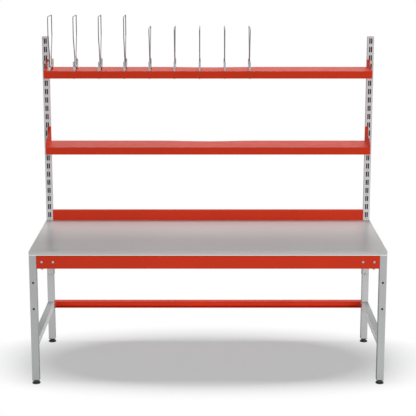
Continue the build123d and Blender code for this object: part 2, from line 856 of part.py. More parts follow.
with BuildPart() as worktop_screw:
    with BuildSketch(Plane.XY):
        Circle(screw_head_radius)
    extrude(amount=-screw_head_height)
    fillet(worktop_screw.faces().sort_by(Axis.Z)[0].edges(), radius=screw_head_height / 2)
    with BuildSketch(Plane.XY):
        Circle(screw_radius)
    extrude(amount=beam_wall + screw_bite)

with BuildPart() as worktop_screws:
    with Locations(*[facing(x, y, under_top - beam_wall, (0, 0, 1)) for x, y in screw_places]):
        add(worktop_screw.part)
save(worktop_screws.part, "worktop_screws")

with BuildPart() as shelf_screw:
    with BuildSketch(Plane.XY):
        Circle(shelf_screw_head)
    extrude(amount=-shelf_screw_head_height)
    fillet(shelf_screw.faces().sort_by(Axis.Z)[0].edges(), radius=shelf_screw_head_height / 2)
    with BuildSketch(Plane.XY):
        Circle(shelf_screw_radius)
    extrude(amount=bracket_sheet + shelf_sheet + shelf_nut_height + small_tail)

shelf_nut = hex_nut(shelf_nut_flats, shelf_nut_height, shelf_screw_radius)

for shelf_name, shelf_z in shelves.items():
    screw_z = shelf_z - shelf_lip / 2
    with BuildPart() as shelf_screws:
        for side in sides.values():
            nut_x = side * (shelf_half - shelf_sheet)
            with Locations(*[facing(side * upright_inner, y, screw_z, (-side, 0, 0)) for y in tray_screws]):
                add(shelf_screw.part)
            with Locations(*[facing(nut_x, y, screw_z, (-side, 0, 0)) for y in tray_screws]):
                add(shelf_nut)
    save(shelf_screws.part, f"{shelf_name}_shelf_screws")
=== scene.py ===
from math import cos, pi, radians, sin, tan, tau

import bmesh
import bpy
from bpy.props import FloatProperty, FloatVectorProperty, IntProperty, PointerProperty
from mathutils import Matrix, Vector


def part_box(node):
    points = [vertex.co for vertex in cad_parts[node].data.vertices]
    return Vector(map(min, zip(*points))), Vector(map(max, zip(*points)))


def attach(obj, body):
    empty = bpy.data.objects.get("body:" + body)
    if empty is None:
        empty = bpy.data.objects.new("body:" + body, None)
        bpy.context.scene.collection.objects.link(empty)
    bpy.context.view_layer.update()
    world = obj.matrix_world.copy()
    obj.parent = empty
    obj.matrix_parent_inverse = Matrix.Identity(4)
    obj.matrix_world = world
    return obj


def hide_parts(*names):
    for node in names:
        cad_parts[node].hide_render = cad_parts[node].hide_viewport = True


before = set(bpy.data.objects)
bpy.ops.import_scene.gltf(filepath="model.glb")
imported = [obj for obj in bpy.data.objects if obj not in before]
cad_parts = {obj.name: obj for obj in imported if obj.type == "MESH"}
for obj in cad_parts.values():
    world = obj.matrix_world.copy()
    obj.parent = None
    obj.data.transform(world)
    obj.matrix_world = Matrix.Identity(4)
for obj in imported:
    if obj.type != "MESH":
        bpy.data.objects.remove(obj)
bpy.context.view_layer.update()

bl_info = {
    "name": "Packing table finishes",
    "version": (1, 0, 0),
    "blender": (4, 5, 0),
    "location": "View3D > Sidebar > Packing table",
    "description": "Dresses the packing table: paint, plating, laminate, wires, feet, welds and the studio",
    "category": "Object",
}

SIDES = ("left", "right")
ENDS = ("front", "rear")
CORNERS = [f"{end}_{side}" for end in ENDS for side in SIDES]
DIVIDERS = range(1, 10)
TALL_DIVIDERS = 4
MM = 0.001
# Near-black colour inside the tube bores: bare steel, darkened as painted shade for the dark inside of the
# tubes.
BARE_STEEL_AND_SHADE = (0.04, 0.04, 0.042)
PLASTIC_DUST = (0.22, 0.21, 0.2)
PAINT_IOR = 1.32
LAMINATE_IOR = 1.5
PLASTIC_IOR = 1.46
NOISE_RANGE = (0.3, 0.7)
SHARP_ANGLE = radians(38)
SAME_POINT = 0.01 * MM


class PaintSettings(bpy.types.PropertyGroup):
    """Colours and surface of the powder coats"""

    red: FloatVectorProperty(
        name="Red coat",
        description="Colour of the beams, shelves, brackets, upstand and stretcher",
        subtype="COLOR",
        size=3,
        min=0,
        max=1,
        default=(0.61, 0.036, 0.01),
    )
    grey: FloatVectorProperty(
        name="Grey coat",
        description="Colour of the legs and side rails",
        subtype="COLOR",
        size=3,
        min=0,
        max=1,
        default=(0.475, 0.48, 0.485),
    )
    pale: FloatVectorProperty(
        name="Pale coat",
        description="Colour of the slotted uprights",
        subtype="COLOR",
        size=3,
        min=0,
        max=1,
        default=(0.67, 0.67, 0.675),
    )
    grain: FloatProperty(
        name="Grain size",
        description="Size of the fine orange peel of the coat",
        subtype="DISTANCE",
        unit="LENGTH",
        default=1.6 * MM,
    )
    # The bores inside this wall are coloured near black: bare steel, darkened as painted shade.
    tube_wall: FloatProperty(
        name="Tube wall",
        description="Wall of the uprights and the legs, whose inside is bare",
        subtype="DISTANCE",
        unit="LENGTH",
        default=2.0 * MM,
    )
    weld_size: FloatProperty(
        name="Weld size",
        description="Radius of the weld beads between rails and legs",
        subtype="DISTANCE",
        unit="LENGTH",
        default=2.6 * MM,
    )
    weld_inset: FloatProperty(
        name="Weld inset",
        description="Distance between a weld's end and the tube's side",
        subtype="DISTANCE",
        unit="LENGTH",
        default=3.0 * MM,
    )


class BoardSettings(bpy.types.PropertyGroup):
    """Laminate and edge band of the worktop"""

    laminate: FloatVectorProperty(
        name="Laminate",
        description="Colour of the worktop's laminate",
        subtype="COLOR",
        size=3,
        min=0,
        max=1,
        default=(0.66, 0.655, 0.655),
    )
    band: FloatVectorProperty(
        name="Edge band",
        description="Colour of the band round the worktop",
        subtype="COLOR",
        size=3,
        min=0,
        max=1,
        default=(0.53, 0.52, 0.525),
    )
    # Painted highlight: a paler colour along the band's lower arris, standing in for light that this edge
    # catches.
    arris_highlight: FloatVectorProperty(
        name="Band arris",
        description="Colour of the scraped lower arris of the band",
        subtype="COLOR",
        size=3,
        min=0,
        max=1,
        default=(0.85, 1.0, 1.0),
    )
    # Width of the painted highlight strip along the band's lower arris.
    arris_highlight_width: FloatProperty(
        name="Arris width",
        description="Width of the scraped lower arris of the band",
        subtype="DISTANCE",
        unit="LENGTH",
        default=4.5 * MM,
    )
    speckle: FloatProperty(
        name="Speckle size",
        description="Size of the flecks in the laminate",
        subtype="DISTANCE",
        unit="LENGTH",
        default=2.5 * MM,
    )


class MetalSettings(bpy.types.PropertyGroup):
    """Plating of the wires, clips and fasteners"""

    zinc: FloatVectorProperty(
        name="Zinc",
        description="Colour of the zinc-plated clips and fasteners",
        subtype="COLOR",
        size=3,
        min=0,
        max=1,
        default=(0.84, 0.85, 0.86),
    )
    blue_zinc: FloatVectorProperty(
        name="Blue zinc",
        description="Colour of the blue-passivated bolts and screws",
        subtype="COLOR",
        size=3,
        min=0,
        max=1,
        default=(0.62, 0.88, 0.95),
    )
    wire: FloatVectorProperty(
        name="Wire",
        description="Colour of the plated divider wires",
        subtype="COLOR",
        size=3,
        min=0,
        max=1,
        default=(0.34, 0.34, 0.35),
    )
    bend: FloatProperty(
        name="Wire bend",
        description="Radius of the bends of a divider wire",
        subtype="DISTANCE",
        unit="LENGTH",
        default=9.0 * MM,
    )
    neck: FloatProperty(
        name="Neck width",
        description="Distance between the two wires of the neck",
        subtype="DISTANCE",
        unit="LENGTH",
        default=68.0 * MM,
    )
    neck_height: FloatProperty(
        name="Neck height",
        description="Height of the neck's end above the foot of its clip",
        subtype="DISTANCE",
        unit="LENGTH",
        default=123.0 * MM,
    )
    tall_straight: FloatProperty(
        name="Tall straight",
        description="Straight upright part of a tall divider",
        subtype="DISTANCE",
        unit="LENGTH",
        default=111.0 * MM,
    )
    short_straight: FloatProperty(
        name="Short straight",
        description="Straight upright part of a low divider",
        subtype="DISTANCE",
        unit="LENGTH",
        default=5.0 * MM,
    )
    weld_length: FloatProperty(
        name="Wire weld",
        description="Length of a weld between wire and clip",
        subtype="DISTANCE",
        unit="LENGTH",
        default=9.0 * MM,
    )
    sides: IntProperty(
        name="Wire sides",
        description="Faces round a divider wire",
        min=8,
        max=32,
        default=16,
    )


class FootSettings(bpy.types.PropertyGroup):
    """Levelling feet"""

    plastic: FloatVectorProperty(
        name="Plastic",
        description="Colour of the pads, nuts and tube plugs",
        subtype="COLOR",
        size=3,
        min=0,
        max=1,
        default=(0.03, 0.03, 0.032),
    )
    pad_radius: FloatProperty(
        name="Pad radius",
        description="Radius of a foot's pad",
        subtype="DISTANCE",
        unit="LENGTH",
        default=23.0 * MM,
    )
    pad_height: FloatProperty(
        name="Foot height",
        description="Height of the pad and collar",
        subtype="DISTANCE",
        unit="LENGTH",
        default=18.0 * MM,
    )
    stem_radius: FloatProperty(
        name="Stem radius",
        description="Outer radius of the thread",
        subtype="DISTANCE",
        unit="LENGTH",
        default=5.0 * MM,
    )
    thread_pitch: FloatProperty(
        name="Thread pitch",
        description="Pitch of the thread of the feet",
        subtype="DISTANCE",
        unit="LENGTH",
        default=1.5 * MM,
    )


class StudioSettings(bpy.types.PropertyGroup):
    """Camera, lights and floor"""

    camera_place: FloatVectorProperty(
        name="Camera place",
        description="Where the camera stands",
        subtype="TRANSLATION",
        unit="LENGTH",
        size=3,
        default=(0.0, -6.763, 2.445),
    )
    camera_pitch: FloatProperty(
        name="Camera pitch",
        description="How far the camera looks down",
        subtype="ANGLE",
        unit="ROTATION",
        default=radians(11.114),
    )
    focal_pixels: FloatProperty(
        name="Focal length in pixels",
        description="Focal length, as a number of pixels of the photograph",
        default=1205.7,
    )
    frame_pixels: FloatProperty(
        name="Frame width in pixels",
        description="Width of the photograph",
        subtype="PIXEL",
        default=416.0,
    )
    shift_share: FloatProperty(
        name="Vertical shift",
        description="Shift of the frame, as a share of its width",
        default=-0.08,
    )
    sky_strength: FloatProperty(
        name="Room light",
        description="Strength of the even light of the room",
        default=0.2,
    )


GROUPS = {
    "packing_paint": PaintSettings,
    "packing_board": BoardSettings,
    "packing_metal": MetalSettings,
    "packing_foot": FootSettings,
    "packing_studio": StudioSettings,
}


class Nodes:
    """A material's node tree, with short calls for the nodes that the finishes share."""

    def __init__(self, name):
        self.material = bpy.data.materials.new(name)
        self.material.use_nodes = True
        self.tree = self.material.node_tree
        self.shader = self.tree.nodes["Principled BSDF"]
        self.place = self.tree.nodes.new("ShaderNodeTexCoord").outputs["Object"]

    def set(self, **values):
        """Set the shader's own sockets, with underscores for the spaces of their names."""
        for key, value in values.items():
            self.shader.inputs[key.replace("_", " ")].default_value = value

    def to(self, socket, name):
        """Link a socket to one of the shader's inputs."""
        self.tree.links.new(socket, self.shader.inputs[name])

    def mapped(self, scale):
        """Object coordinates stretched by this scale."""
        node = self.tree.nodes.new("ShaderNodeMapping")
        node.inputs["Scale"].default_value = scale
        self.tree.links.new(self.place, node.inputs["Vector"])
        return node.outputs["Vector"]

    def along(self, axis):
        """Distance along one axis of the object."""
        split = self.tree.nodes.new("ShaderNodeSeparateXYZ")
        self.tree.links.new(self.place, split.inputs["Vector"])
        return split.outputs[axis]

    def noise(self, size, detail=2, roughness=0.5, vector=None):
        """Noise whose features are about this size."""
        node = self.tree.nodes.new("ShaderNodeTexNoise")
        node.inputs["Scale"].default_value = 1 / size
        node.inputs["Detail"].default_value = detail
        node.inputs["Roughness"].default_value = roughness
        self.tree.links.new(vector or self.place, node.inputs["Vector"])
        return node.outputs["Fac"]

    def ramp(self, value, source, target):
        """Map a value from one range to another, held at both ends."""
        node = self.tree.nodes.new("ShaderNodeMapRange")
        node.inputs["From Min"].default_value = source[0]
        node.inputs["From Max"].default_value = source[1]
        node.inputs["To Min"].default_value = target[0]
        node.inputs["To Max"].default_value = target[1]
        self.tree.links.new(value, node.inputs["Value"])
        return node.outputs["Result"]

    def math(self, operation, first, second=0.0):
        """One step of arithmetic on a socket, with a number or another socket."""
        node = self.tree.nodes.new("ShaderNodeMath")
        node.operation = operation
        self.tree.links.new(first, node.inputs[0])
        if isinstance(second, bpy.types.NodeSocket):
            self.tree.links.new(second, node.inputs[1])
        else:
            node.inputs[1].default_value = second
        return node.outputs["Value"]

    def mix(self, share, first, second):
        """Mix two colours by a share. Each is a colour or a socket."""
        node = self.tree.nodes.new("ShaderNodeMix")
        node.data_type = "RGBA"
        self.tree.links.new(share, node.inputs["Factor"])
        for label, colour in (("A", first), ("B", second)):
            socket = [s for s in node.inputs if s.name == label and s.type == "RGBA"][0]
            if isinstance(colour, bpy.types.NodeSocket):
                self.tree.links.new(colour, socket)
            else:
                socket.default_value = (*colour, 1)
        return [s for s in node.outputs if s.type == "RGBA"][0]

    def tint(self, value, source, colour, shades):
        """A colour that goes from its first shade to its second as a value goes through a range."""
        first, second = (shade(colour, factor) for factor in shades)
        return self.mix(self.ramp(value, source, (0, 1)), first, second)

    def inside(self, off_x, middle_y, off_y, half_x, half_y):
        """1 inside the bores of tubes that stand this far off both middle planes, and 0 outside."""
        from_side = self.math("SUBTRACT", self.math("ABSOLUTE", self.along("X")), off_x)
        from_middle = self.math("ABSOLUTE", self.math("SUBTRACT", self.along("Y"), middle_y))
        from_end = self.math("SUBTRACT", from_middle, off_y)
        near_x = self.math("LESS_THAN", self.math("ABSOLUTE", from_side), half_x)
        near_y = self.math("LESS_THAN", self.math("ABSOLUTE", from_end), half_y)
        return self.math("MULTIPLY", near_x, near_y)

    def bump(self, height, distance, strength):
        """Normal bumped by a height."""
        node = self.tree.nodes.new("ShaderNodeBump")
        node.inputs["Distance"].default_value = distance
        node.inputs["Strength"].default_value = strength
        self.tree.links.new(height, node.inputs["Height"])
        return node.outputs["Normal"]

    def finish(self, colour, roughness, normal, **values):
        """Link the three sockets to the shader, set its other ones and return the material."""
        self.to(colour, "Base Color")
        self.to(roughness, "Roughness")
        self.to(normal, "Normal")
        self.set(**values)
        return self.material


def shade(colour, factor):
    """A colour made lighter or darker by a factor."""
    return tuple(min(1.0, channel * factor) for channel in colour)


def powder_coat(name, colour, grain, roughness, bore=None):
    """Smooth satin powder coat: slight cloudiness, fine orange peel and faint handling marks.

    bore is where tubes like these are hollow: the coat doesn't reach in there, and the steel is bare,
    coloured near black partly as painted shade for the dark inside of the tube.
    """
    cloud_size = 0.35
    cloud_shades = (0.96, 1.04)
    mark_size = 0.06
    mark_range = (0.6, 0.75)
    mark_share = 0.2
    mark_shade = 0.9
    dulling_range = (0.35, 0.75)
    dulling = (roughness - 0.03, roughness + 0.06)
    peel_height = 0.00004
    peel_strength = 0.5
    nodes = Nodes(name)
    cloud = nodes.noise(cloud_size, detail=3)
    clouded = nodes.tint(cloud, NOISE_RANGE, colour, cloud_shades)
    marks = nodes.noise(mark_size, detail=5, roughness=0.65)
    coat = nodes.mix(nodes.ramp(marks, mark_range, (0, mark_share)), clouded, shade(colour, mark_shade))
    if bore:
        # Inside the bores: bare steel, coloured near black as painted shade.
        coat = nodes.mix(nodes.inside(*bore), coat, BARE_STEEL_AND_SHADE)
    dulled = nodes.ramp(marks, dulling_range, dulling)
    peel = nodes.bump(nodes.noise(grain, detail=1), peel_height, peel_strength)
    return nodes.finish(coat, dulled, peel, IOR=PAINT_IOR)


def tube_bores(front, rear, wall):
    """Where tubes like these two are hollow: distances from the middle planes, and half the bore."""
    coated_sides = 0.8 * wall
    coated_faces = 0.5 * wall
    front_low, front_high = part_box(front)
    rear_low, rear_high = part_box(rear)
    off_x = (rear_low[0] + rear_high[0]) / 2
    front_y = (front_low[1] + front_high[1]) / 2
    rear_y = (rear_low[1] + rear_high[1]) / 2
    half_x = (rear_high[0] - rear_low[0]) / 2 - coated_sides
    half_y = (rear_high[1] - rear_low[1]) / 2 - coated_faces
    return off_x, (front_y + rear_y) / 2, (rear_y - front_y) / 2, half_x, half_y


def laminate(name, colour, speckle):
    """Pale grey laminate with a fine mineral fleck and faint rub marks."""
    fleck_range = (0.38, 0.62)
    fleck_shades = (0.95, 1.05)
    rub_size = 0.22
    rub_stretch = (0.6, 1, 1)
    rub_range = (0.2, 0.8)
    rub_share = 0.5
    rub_shade = 0.94
    rub_roughness = (0.28, 0.33)
    grain_height = 0.00002
    grain_strength = 0.4
    nodes = Nodes(name)
    fleck = nodes.noise(speckle, detail=4, roughness=0.7)
    flecked = nodes.tint(fleck, fleck_range, colour, fleck_shades)
    rub = nodes.noise(rub_size, vector=nodes.mapped(rub_stretch))
    rubbed = nodes.mix(nodes.ramp(rub, rub_range, (0, rub_share)), flecked, shade(colour, rub_shade))
    dulled = nodes.ramp(rub, rub_range, rub_roughness)
    grain = nodes.bump(nodes.noise(speckle / 2), grain_height, grain_strength)
    return nodes.finish(rubbed, dulled, grain, IOR=LAMINATE_IOR)


def edge_plastic(name, colour, arris_highlight, bottom, width):
    """Extruded plastic edge band with faint lines along its run, and a painted highlight along its lower
    arris.
    """
    line_size = 0.004
    line_stretch = (0.02, 0.02, 1)
    line_shades = (0.96, 1.04)
    line_roughness = (0.38, 0.46)
    line_height = 0.00005
    line_strength = 0.4
    # Lower arris: a paler strip painted in as a highlight, for the light that the band's edge catches.
    highlight_end = (bottom + width * 0.6, bottom + width)
    nodes = Nodes(name)
    lines = nodes.noise(line_size, vector=nodes.mapped(line_stretch))
    body = nodes.tint(lines, NOISE_RANGE, colour, line_shades)
    highlighted = nodes.mix(nodes.ramp(nodes.along("Z"), highlight_end, (1, 0)), body, arris_highlight)
    dulled = nodes.ramp(lines, NOISE_RANGE, line_roughness)
    ridges = nodes.bump(lines, line_height, line_strength)
    return nodes.finish(highlighted, dulled, ridges, IOR=PLASTIC_IOR)


def zinc_plate(name, colour):
    """Bright zinc with soft patches of duller passivation and fine draw lines."""
    patch_size = 0.012
    patch_shades = (0.88, 1.06)
    patch_roughness = (0.29, 0.4)
    line_size = 0.0012
    line_height = 0.00003
    line_strength = 0.5
    nodes = Nodes(name)
    patches = nodes.noise(patch_size, detail=3)
    plating = nodes.tint(patches, NOISE_RANGE, colour, patch_shades)
    dulled = nodes.ramp(patches, NOISE_RANGE, patch_roughness)
    lines = nodes.bump(nodes.noise(line_size), line_height, line_strength)
    return nodes.finish(plating, dulled, lines, Metallic=1.0)


def plated_wire(name, colour):
    """Bright drawn wire with fine lines and slight dulling."""
    dull_size = 0.03
    dull_range = (0.35, 0.7)
    dull_shades = (1.05, 0.9)
    dull_roughness = (0.29, 0.36)
    line_size = 0.0009
    line_height = 0.000005
    line_strength = 0.3
    nodes = Nodes(name)
    dull = nodes.noise(dull_size, detail=4)
    plating = nodes.tint(dull, dull_range, colour, dull_shades)
    dulled = nodes.ramp(dull, dull_range, dull_roughness)
    lines = nodes.bump(nodes.noise(line_size, detail=1), line_height, line_strength)
    return nodes.finish(plating, dulled, lines, Metallic=1.0)


def moulded_plastic(name, colour):
    """Black moulded plastic with a spark-eroded grain and a little dust."""
    dust_size = 0.009
    dust_range = (0.5, 0.8)
    dust_share = 0.5
    dulling_range = (0.3, 0.8)
    dulling = (0.42, 0.6)
    grain_size = 0.0006
    grain_height = 0.00005
    grain_strength = 0.5
    nodes = Nodes(name)
    dust = nodes.noise(dust_size, detail=4)
    dusted = nodes.mix(nodes.ramp(dust, dust_range, (0, dust_share)), colour, PLASTIC_DUST)
    dulled = nodes.ramp(dust, dulling_range, dulling)
    grain = nodes.bump(nodes.noise(grain_size), grain_height, grain_strength)
    return nodes.finish(dusted, dulled, grain, IOR=PLASTIC_IOR)


def weld_metal(name, colour, metallic=0.0):
    """Rippled weld bead, painted over or plated, a little duller than the pieces that it joins."""
    ripple_size = 0.003
    ripple_shades = (0.84, 1.02)
    ripple_roughness = (0.36, 0.5)
    ripple_height = 0.00015
    ripple_strength = 0.6
    nodes = Nodes(name)
    ripple = nodes.noise(ripple_size, detail=3)
    rippled = nodes.tint(ripple, NOISE_RANGE, colour, ripple_shades)
    dulled = nodes.ramp(ripple, NOISE_RANGE, ripple_roughness)
    ridges = nodes.bump(ripple, ripple_height, ripple_strength)
    return nodes.finish(rippled, dulled, ridges, Metallic=metallic)


def dress(names, material):
    """Give these CAD nodes one material."""
    for name in names:
        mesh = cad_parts[name].data
        mesh.materials.clear()
        mesh.materials.append(material)


def sort_by_place(mesh_data):
    """Sort corners and faces along a slanted line, because bevel and spin leave them in any order."""
    slant = Vector((1.0, 0.37, 0.113))
    mesh_data.verts.sort(key=lambda vert: vert.co.dot(slant))
    mesh_data.faces.sort(key=lambda face: face.calc_center_median().dot(slant))


def finish_piece(mesh_data, name, material, body):
    """Turn a bmesh into a finished piece that rides on a body."""
    bmesh.ops.remove_doubles(mesh_data, verts=mesh_data.verts, dist=SAME_POINT)
    bmesh.ops.recalc_face_normals(mesh_data, faces=mesh_data.faces)
    sort_by_place(mesh_data)
    mesh = bpy.data.meshes.new(name)
    mesh_data.to_mesh(mesh)
    mesh_data.free()
    mesh.materials.append(material)
    mesh.shade_smooth()
    mesh.set_sharp_from_angle(angle=SHARP_ANGLE)
    piece = bpy.data.objects.new(name, mesh)
    bpy.context.scene.collection.objects.link(piece)
    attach(piece, body)
    return piece


def in_order(items):
    """Each of these once, in the order in which they first come."""
    return list(dict.fromkeys(items))


def ring(data, centre, along, radius, sides):
    """Circle of edges round a point, square to a direction that runs along X or square to X."""
    runs_along_x = abs(along.x) > 0.5
    across = Vector((0, 1, 0)) if runs_along_x else along.cross(Vector((1, 0, 0)))
    up = along.cross(across)
    turn = Matrix((across, up, along)).transposed().to_4x4()
    place = Matrix.Translation(centre) @ turn
    circle = bmesh.ops.create_circle(data, cap_ends=False, segments=sides, radius=radius, matrix=place)
    return in_order(edge for vert in circle["verts"] for edge in vert.link_edges)


def sweep(data, points, radii, sides, closed):
    """Round bar along these points, closed on itself or capped at both ends."""
    rings = []
    for index, point in enumerate(points):
        before = points[index - 1] if index or closed else point
        after = points[(index + 1) % len(points)] if index + 1 < len(points) or closed else point
        rings.append(ring(data, point, (after - before).normalized(), radii[index], sides))
    pairs = list(zip(rings, rings[1:]))
    if closed:
        pairs.append((rings[-1], rings[0]))
    for first, second in pairs:
        bmesh.ops.bridge_loops(data, edges=first + second)
    if not closed:
        for end in (rings[0], rings[-1]):
            bmesh.ops.contextual_create(data, geom=end)


def bent_path(corners, radius):
    """Closed path through these corners, each rounded by an arc of this radius."""
    steps = 8
    points = []
    for index, corner in enumerate(corners):
        back = (corners[index - 1] - corner).normalized()
        ahead = (corners[(index + 1) % len(corners)] - corner).normalized()
        half = back.angle(ahead) / 2
        centre = corner + (back + ahead).normalized() * (radius / sin(half))
        start = corner + back * (radius / tan(half)) - centre
        end = corner + ahead * (radius / tan(half)) - centre
        turn = start.rotation_difference(end)
        for step in range(steps + 1):
            swing = turn.copy()
            swing.angle = turn.angle * step / steps
            points.append(centre + swing @ start)
    return points


def weld_run(data, start, end, radius, pitch):
    """Weld bead from one point to another, with the ripple that the torch leaves."""
    steps_per_ripple = 6
    least_steps = 8
    sides = 10
    end_share = 0.3
    ripple_depth = 0.08
    length = (end - start).length
    count = max(least_steps, int(length / pitch * steps_per_ripple))
    points = []
    radii = []
    for step in range(count + 1):
        share = step / count
        taper = min(1, min(share, 1 - share) * length / radius + end_share)
        ripple = 1 - ripple_depth + ripple_depth * cos(tau * share * length / pitch)
        points.append(start.lerp(end, share))
        radii.append(radius * taper * ripple)
    sweep(data, points, radii, sides, False)


class PACKING_OT_wires(bpy.types.Operator):
    """Bend the divider wires and weld them to their clips"""

    bl_idname = "packing.wires"
    bl_label = "Divider wires"

    def execute(self, context):
        metal = context.scene.packing_metal
        wire = plated_wire("plated_wire", tuple(metal.wire))
        nugget = weld_metal("zinc_weld", tuple(metal.zinc), metallic=1.0)
        for number in DIVIDERS:
            body = f"divider_{number}"
            bent = divider_loop(number, metal)
            loop = finish_piece(bent, f"bent_wire_{number}", wire, body)
            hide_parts(f"divider_wire_{number}")
            beads = divider_welds(number, metal)
            finish_piece(beads, f"wire_weld_{number}", nugget, body)
        return {"FINISHED"}


def divider_loop(number, metal):
    """One closed loop of wire: a narrow neck that stands in the clip, and a wide bow above it."""
    low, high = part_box(f"divider_wire_{number}")
    clip_low, clip_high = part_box(f"divider_clip_{number}")
    wire_radius = (high[0] - low[0]) / 2
    x = (low[0] + high[0]) / 2
    neck_middle = (clip_low[1] + clip_high[1]) / 2
    neck = metal.neck / 2
    neck_top = clip_low[2] + metal.neck_height
    bow_middle = (low[1] + high[1]) / 2
    bow = (high[1] - low[1]) / 2 - wire_radius
    top = high[2] - wire_radius
    bottom = low[2] + wire_radius
    straight = metal.tall_straight if number <= TALL_DIVIDERS else metal.short_straight
    shoulder = top - metal.bend - straight
    corners = [
        Vector((x, neck_middle + neck, bottom)),
        Vector((x, neck_middle + neck, neck_top)),
        Vector((x, bow_middle + bow, shoulder)),
        Vector((x, bow_middle + bow, top)),
        Vector((x, bow_middle - bow, top)),
        Vector((x, bow_middle - bow, shoulder)),
        Vector((x, neck_middle - neck, neck_top)),
        Vector((x, neck_middle - neck, bottom)),
    ]
    data = bmesh.new()
    points = bent_path(corners, metal.bend)
    sweep(data, points, [wire_radius] * len(points), metal.sides, True)
    return data


def divider_welds(number, metal):
    """Four short weld beads between a divider's wire and its clip."""
    low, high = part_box(f"divider_wire_{number}")
    clip_low, clip_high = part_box(f"divider_clip_{number}")
    wire_radius = (high[0] - low[0]) / 2
    bead_radius = wire_radius * 0.55
    off_wire = wire_radius * 0.8
    off_middle = metal.neck / 2 * 0.4
    z = low[2] + wire_radius * 0.3
    data = bmesh.new()
    for place in (-1, 1):
        for side in (-1, 1):
            x = (low[0] + high[0]) / 2 + side * off_wire
            y = (clip_low[1] + clip_high[1]) / 2 + place * off_middle
            start = Vector((x, y - metal.weld_length / 2, z))
            end = Vector((x, y + metal.weld_length / 2, z))
            weld_run(data, start, end, bead_radius, wire_radius)
    return data


class PACKING_OT_frame_welds(bpy.types.Operator):
    """Weld the side rails to the legs"""

    bl_idname = "packing.frame_welds"
    bl_label = "Frame welds"

    def execute(self, context):
        paint = context.scene.packing_paint
        bead = weld_metal("grey_weld", tuple(paint.grey))
        for side in SIDES:
            data = bmesh.new()
            for level in ("low", "top"):
                low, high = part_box(f"{level}_rail_{side}")
                # The worktop covers the upper edges of the top rails
                heights = [low[2], high[2]] if level == "low" else [low[2]]
                for y in (low[1], high[1]):
                    for z in heights:
                        start = Vector((low[0] + paint.weld_inset, y, z))
                        end = Vector((high[0] - paint.weld_inset, y, z))
                        weld_run(data, start, end, paint.weld_size, paint.weld_size)
            finish_piece(data, f"frame_welds_{side}", bead, "table")
        return {"FINISHED"}


class PACKING_OT_feet(bpy.types.Operator):
    """Turn the levelling feet with their threads"""

    bl_idname = "packing.feet"
    bl_label = "Levelling feet"

    def execute(self, context):
        foot = context.scene.packing_foot
        plastic = moulded_plastic("foot_plastic", tuple(foot.plastic))
        steel = zinc_plate("foot_zinc", tuple(context.scene.packing_metal.zinc))
        for corner in CORNERS:
            body = f"foot_body_{corner}"
            low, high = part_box(f"foot_{corner}")
            centre = Vector(((low[0] + high[0]) / 2, (low[1] + high[1]) / 2, low[2]))
            pad = foot_pad(centre, foot)
            piece = finish_piece(pad, f"foot_pad_{corner}", plastic, body)
            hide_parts(f"foot_{corner}")
            stem = foot_stem(centre, high[2], foot)
            finish_piece(stem, f"foot_stem_{corner}", steel, body)
        return {"FINISHED"}


def foot_pad(centre, foot):
    """Round pad with a rounded rim, a waisted collar and ribs between the two."""
    radius = foot.pad_radius
    height = foot.pad_height
    pad_sides = 64
    rib_count = 8
    rib_size = (radius * 0.34, radius * 0.09, height * 0.4, 1)
    rib_place = (radius * 0.7, 0, height * 0.55)
    rib_fall = height * 0.3
    rib_rounding = radius * 0.015
    # Radius and height of each point, as shares of the pad's
    profile = [
        (0.0, 0.0), (0.86, 0.0), (0.97, 0.05), (1.0, 0.14), (1.0, 0.3), (0.96, 0.38), (0.84, 0.43),
        (0.72, 0.47), (0.64, 0.52), (0.605, 0.6), (0.6, 0.9), (0.57, 0.97), (0.52, 1.0), (0.24, 1.0),
        (0.0, 1.0),
    ]
    data = bmesh.new()
    spin_profile(data, centre, [(r * radius, z * height) for r, z in profile], pad_sides)
    for index in range(rib_count):
        turn = Matrix.Translation(centre) @ Matrix.Rotation(tau * index / rib_count, 4, "Z")
        place = turn @ Matrix.Translation(rib_place) @ Matrix.Diagonal(rib_size)
        verts = bmesh.ops.create_cube(data, size=1, matrix=place)["verts"]
        outer = sorted(verts, key=lambda vert: (vert.co - centre).length)[-2:]
        bmesh.ops.translate(data, verts=outer, vec=(0, 0, -rib_fall))
        faces = in_order(face for vert in verts for face in vert.link_faces)
        rims = in_order(edge for face in faces for edge in face.edges)
        bmesh.ops.bevel(
            data, geom=rims, offset=rib_rounding, offset_type="OFFSET", affect="EDGES",
            segments=2, profile=0.5, material=-1
        )
    return data


def spin_profile(data, centre, profile, sides):
    """Full spin of a profile of radii and heights round the vertical axis through a centre."""
    spots = [data.verts.new(centre + Vector((r, 0, z))) for r, z in profile]
    edges = [data.edges.new(pair) for pair in zip(spots, spots[1:])]
    bmesh.ops.spin(
        data, geom=spots + edges, cent=centre, axis=(0, 0, 1), angle=tau, steps=sides, use_merge=True
    )


def foot_stem(centre, top, foot):
    """Threaded stem: a core and the ridge of its thread."""
    pitch = foot.thread_pitch
    core_sides = 24
    steps_per_turn = 16
    core = foot.stem_radius - pitch * 0.6
    chamfer = core * 0.2
    root = core * 0.96
    crest = (0.42, 0.58)
    base = foot.pad_height
    height = top - centre.z
    data = bmesh.new()
    core_profile = [(0, base), (core, base), (core, height - chamfer)]
    core_profile += [(core - chamfer, height), (0, height)]
    spin_profile(data, centre, core_profile, core_sides)
    turns = int((height - base) / pitch) - 2
    start = centre + Vector((0, 0, base + pitch / 2))
    corners = [(root, 0.0), (foot.stem_radius, crest[0]), (foot.stem_radius, crest[1]), (root, 1.0)]
    ridge = [data.verts.new(start + Vector((r, 0, share * pitch))) for r, share in corners]
    rims = [data.edges.new(pair) for pair in zip(ridge, ridge[1:] + ridge[:1])]
    swept = bmesh.ops.spin(
        data, geom=ridge + rims, cent=centre, axis=(0, 0, 1), dvec=(0, 0, pitch / steps_per_turn),
        angle=tau * turns, steps=turns * steps_per_turn
    )
    last = [item for item in swept["geom_last"] if isinstance(item, bmesh.types.BMEdge)]
    bmesh.ops.contextual_create(data, geom=rims)
    bmesh.ops.contextual_create(data, geom=last)
    return data


